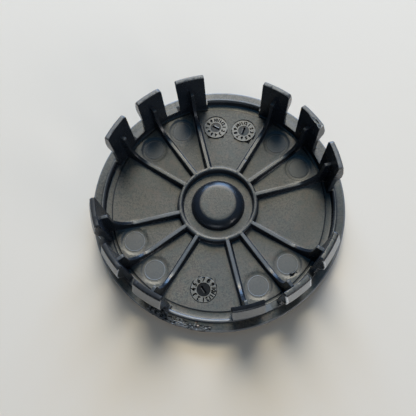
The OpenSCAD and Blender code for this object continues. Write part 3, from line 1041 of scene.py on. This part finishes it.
class Graph:
    """Short calls for building one material's nodes."""

    def __init__(self, name):
        self.mat = bpy.data.materials.new(name)
        self.mat.use_nodes = True
        self.nodes = self.mat.node_tree.nodes
        self.links = self.mat.node_tree.links
        self.shader = self.nodes["Principled BSDF"]
        self.place = self.nodes.new("ShaderNodeTexCoord").outputs["Object"]

    def feed(self, socket, value):
        """Sets a socket to a number or a colour, or links another node's output to it."""
        if isinstance(value, tuple):
            socket.default_value = (*value, 1)
        elif isinstance(value, (int, float)):
            socket.default_value = value
        else:
            self.links.new(value, socket)

    def noise(self, scale, detail=3.0, rough=0.5, stretch=None):
        tex = self.nodes.new("ShaderNodeTexNoise")
        tex.inputs["Scale"].default_value = scale
        tex.inputs["Detail"].default_value = detail
        tex.inputs["Roughness"].default_value = rough
        source = self.place
        if stretch:
            mapping = self.nodes.new("ShaderNodeMapping")
            mapping.inputs["Scale"].default_value = stretch
            self.links.new(self.place, mapping.inputs["Vector"])
            source = mapping.outputs["Vector"]
        self.links.new(source, tex.inputs["Vector"])
        return tex.outputs["Fac"]

    def attribute(self, name):
        node = self.nodes.new("ShaderNodeAttribute")
        node.attribute_name = name
        return node.outputs["Fac"]

    def upward(self):
        """Height of the surface's own direction: 1 where it lies level."""
        normal = self.nodes.new("ShaderNodeNewGeometry").outputs["Normal"]
        parts = self.nodes.new("ShaderNodeSeparateXYZ")
        self.links.new(normal, parts.inputs["Vector"])
        return parts.outputs["Z"]

    def remap(self, value, low, high, to_low=0.0, to_high=1.0):
        node = self.nodes.new("ShaderNodeMapRange")
        self.links.new(value, node.inputs["Value"])
        node.inputs["From Min"].default_value = low
        node.inputs["From Max"].default_value = high
        node.inputs["To Min"].default_value = to_low
        node.inputs["To Max"].default_value = to_high
        return node.outputs["Result"]

    def math(self, operation, a, b):
        node = self.nodes.new("ShaderNodeMath")
        node.operation = operation
        self.feed(node.inputs[0], a)
        self.feed(node.inputs[1], b)
        return node.outputs["Value"]

    def blend(self, factor, a, b):
        """Mix of two colours by a factor."""
        node = self.nodes.new("ShaderNodeMix")
        node.data_type = "RGBA"
        self.links.new(factor, node.inputs[0])
        self.feed(node.inputs[6], a)
        self.feed(node.inputs[7], b)
        return node.outputs[2]

    def mix(self, factor, a, b):
        """Mix of two plain values by a factor."""
        node = self.nodes.new("ShaderNodeMix")
        node.data_type = "FLOAT"
        self.links.new(factor, node.inputs[0])
        self.feed(node.inputs[2], a)
        self.feed(node.inputs[3], b)
        return node.outputs[0]


def plastic():
    """Black moulded plastic: glossy where it stands, dusty and grained where it lies level, with rubbed barbs, and
    with the painted highlights, painted reflection and painted shade laid on by the face layers.
    """
    g = Graph("black_plastic")
    grain = g.noise(3400, 3)
    coarse = g.noise(1700, 3, 0.6)
    cloud = g.noise(150, 4, 0.6)
    patch = g.noise(60, 2)
    scratch = g.noise(900, 2, 0.5, (1.0, 9.0, 1.0))
    rub, mark, cavity, torn, clean, pale, stain = (g.attribute(name) for name in LAYERS)

    specks = g.math("ADD", g.math("MULTIPLY", grain, 0.8), g.math("MULTIPLY", coarse, 0.9))
    dust = g.remap(g.math("ADD", specks, g.math("MULTIPLY", cloud, 0.5)), 0.9, 1.25)
    dusty = g.blend(dust, DUST_DARK, DUST_PALE)
    dusty = g.blend(g.remap(patch, 0.42, 0.62, 0, 0.45), dusty, DUST_GREY)
    dusty = g.blend(g.remap(g.noise(620, 3, 0.6), 0.52, 0.64, 0, 0.5), dusty, DUST_TEAL)
    dusty = g.blend(g.remap(g.noise(480, 3, 0.6), 0.53, 0.65, 0, 0.5), dusty, DUST_TAN)
    bare = g.blend(cloud, BARE_DARK, BARE_PALE)
    level = g.math("MULTIPLY", g.remap(g.upward(), 0.972, 0.995), g.math("SUBTRACT", 1.0, clean))
    colour = g.blend(level, bare, dusty)
    # Smooth grey of the ejector marks, which is also the painted reflection on the far tips' tops
    colour = g.blend(g.math("MULTIPLY", mark, 0.6), colour, MARK_TONE)
    colour = g.blend(pale, colour, g.blend(dust, DIAL_DARK, DIAL_PALE))
    streaks = g.remap(g.math("ADD", scratch, g.math("MULTIPLY", cloud, 0.5)), 0.4, 0.85, 0.38, 0.65)
    # Pale tone of wear and of painted highlights, broken up by streaks
    worn = g.math("MULTIPLY", rub, streaks)
    colour = g.blend(worn, colour, WEAR_AND_HIGHLIGHT_TONE)
    shreds = g.remap(g.noise(1300, 3, 0.7), 0.45, 0.55)
    colour = g.blend(torn, colour, g.blend(shreds, SHRED_DARK, SHRED_PALE))
    colour = g.blend(stain, colour, STAIN_TONE)
    # Black of painted shade and of the dial cores
    colour = g.blend(cavity, colour, BLACK_AND_SHADE_TONE)
    g.links.new(colour, g.shader.inputs["Base Color"])

    rough = g.mix(level, g.remap(cloud, 0.3, 0.7, 0.22, 0.32), g.remap(cloud, 0.3, 0.7, 0.4, 0.54))
    rough = g.mix(mark, rough, 0.42)
    rough = g.mix(worn, rough, 0.55)
    rough = g.mix(cavity, rough, 0.8)
    g.links.new(rough, g.shader.inputs["Roughness"])
    g.links.new(g.remap(cavity, 0, 1, 0.5, 0.1), g.shader.inputs["Specular IOR Level"])

    height = g.math("ADD", grain, g.math("MULTIPLY", g.math("MULTIPLY", scratch, worn), 0.8))
    height = g.math("ADD", height, g.math("MULTIPLY", g.math("MULTIPLY", shreds, torn), 4.0))
    bump = g.nodes.new("ShaderNodeBump")
    bump.inputs["Strength"].default_value = 0.35
    bump.inputs["Distance"].default_value = 0.00005
    g.links.new(height, bump.inputs["Height"])
    g.links.new(bump.outputs["Normal"], g.shader.inputs["Normal"])
    return g.mat


def centre_cap():
    """The whole cap as one closed mesh: the body, its marks and dials, the fingers, and last the damage."""
    cap = outward(body())
    combine(cap, [*pin_marks(), *dial_clearings()], "DIFFERENCE")
    combine(cap, list(dial_beds()), "UNION")
    combine(cap, list(dial_cores()), "DIFFERENCE")
    combine(cap, [*fingers(), *dial_ridges()], "UNION")
    combine(cap, list(dial_engraving()), "DIFFERENCE")
    combine(cap, list(damage()), "DIFFERENCE")
    cap.name = "cap_moulding"
    mesh = cap.data
    mesh.polygons.foreach_set("use_smooth", [True] * len(mesh.polygons))
    mesh.set_sharp_from_angle(angle=math.radians(SHARP_ANGLE))
    crisp_steps(mesh)
    paint(mesh)
    smooth = cap.modifiers.new("even_shading", "WEIGHTED_NORMAL")
    smooth.keep_sharp = True
    mesh.materials.clear()
    mesh.materials.append(plastic())
    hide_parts("centre_cap")
    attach(cap, "root")
    print("cap triangles", sum(len(p.vertices) - 2 for p in mesh.polygons))
    return cap


def stage():
    """Pale floor that fills the view."""
    half = FLOOR_HALF
    floor = make_object("floor", [(-half, -half, 0), (half, -half, 0), (half, half, 0), (-half, half, 0)],
                        [(0, 1, 2, 3)])
    mat = bpy.data.materials.new("pale_floor")
    mat.use_nodes = True
    shader = mat.node_tree.nodes["Principled BSDF"]
    shader.inputs["Base Color"].default_value = (*FLOOR_TONE, 1)
    shader.inputs["Roughness"].default_value = 0.9
    floor.data.materials.append(mat)


def lights():
    """Area lamps that face the cap."""
    for spec in LAMPS:
        lamp = bpy.data.lights.new(spec.name, "AREA")
        lamp.shape = "RECTANGLE"
        lamp.size = spec.width
        lamp.size_y = spec.height
        lamp.energy = spec.power
        lamp.color = spec.colour
        obj = bpy.data.objects.new(spec.name, lamp)
        away = Vector(polar(math.cos(math.radians(spec.elevation)), math.radians(spec.azimuth),
                            math.sin(math.radians(spec.elevation))))
        obj.location = away * LAMP_DISTANCE
        obj.rotation_euler = away.to_track_quat("Z", "Y").to_euler()
        bpy.context.scene.collection.objects.link(obj)


def room():
    """World that is pale where the camera sees it and lights the cap only a little."""
    world = bpy.data.worlds.new("room")
    bpy.context.scene.world = world
    world.use_nodes = True
    nodes, links = world.node_tree.nodes, world.node_tree.links
    glow = nodes["Background"]
    glow.inputs["Color"].default_value = (*ROOM_GLOW, 1)
    glow.inputs["Strength"].default_value = ROOM_GLOW_STRENGTH
    seen = nodes.new("ShaderNodeBackground")
    seen.inputs["Color"].default_value = (*ROOM_SEEN, 1)
    seen.inputs["Strength"].default_value = 1.0
    choice = nodes.new("ShaderNodeMixShader")
    path = nodes.new("ShaderNodeLightPath")
    links.new(path.outputs["Is Camera Ray"], choice.inputs[0])
    links.new(glow.outputs["Background"], choice.inputs[1])
    links.new(seen.outputs["Background"], choice.inputs[2])
    links.new(choice.outputs["Shader"], nodes["World Output"].inputs["Surface"])


def camera():
    """The photograph's own view of the cap."""
    el, roll, turn = (math.radians(v) for v in (VIEW_ELEVATION, VIEW_ROLL, VIEW_TURN))
    forward = Vector((0, math.cos(el), -math.sin(el)))
    side = Vector((1, 0, 0))
    top = side.cross(forward)
    right = math.cos(roll) * side + math.sin(roll) * top
    up = math.cos(roll) * top - math.sin(roll) * side
    spot = (-forward * VIEW_DISTANCE - right * VIEW_OFFSET) * MM
    place = Matrix((right, up, -forward)).transposed().to_4x4()
    place.translation = spot
    lens = bpy.data.cameras.new("view")
    lens.sensor_width = SENSOR_MM
    lens.lens = SENSOR_MM * FOCAL_PX / IMAGE_PX
    lens.clip_start = 0.01
    obj = bpy.data.objects.new("view", lens)
    obj.matrix_world = Matrix.Rotation(turn, 4, "Z") @ place
    bpy.context.scene.collection.objects.link(obj)
    bpy.context.scene.camera = obj


camera()
stage()
lights()
room()
centre_cap()
bpy.context.scene.view_settings.view_transform = "Standard"
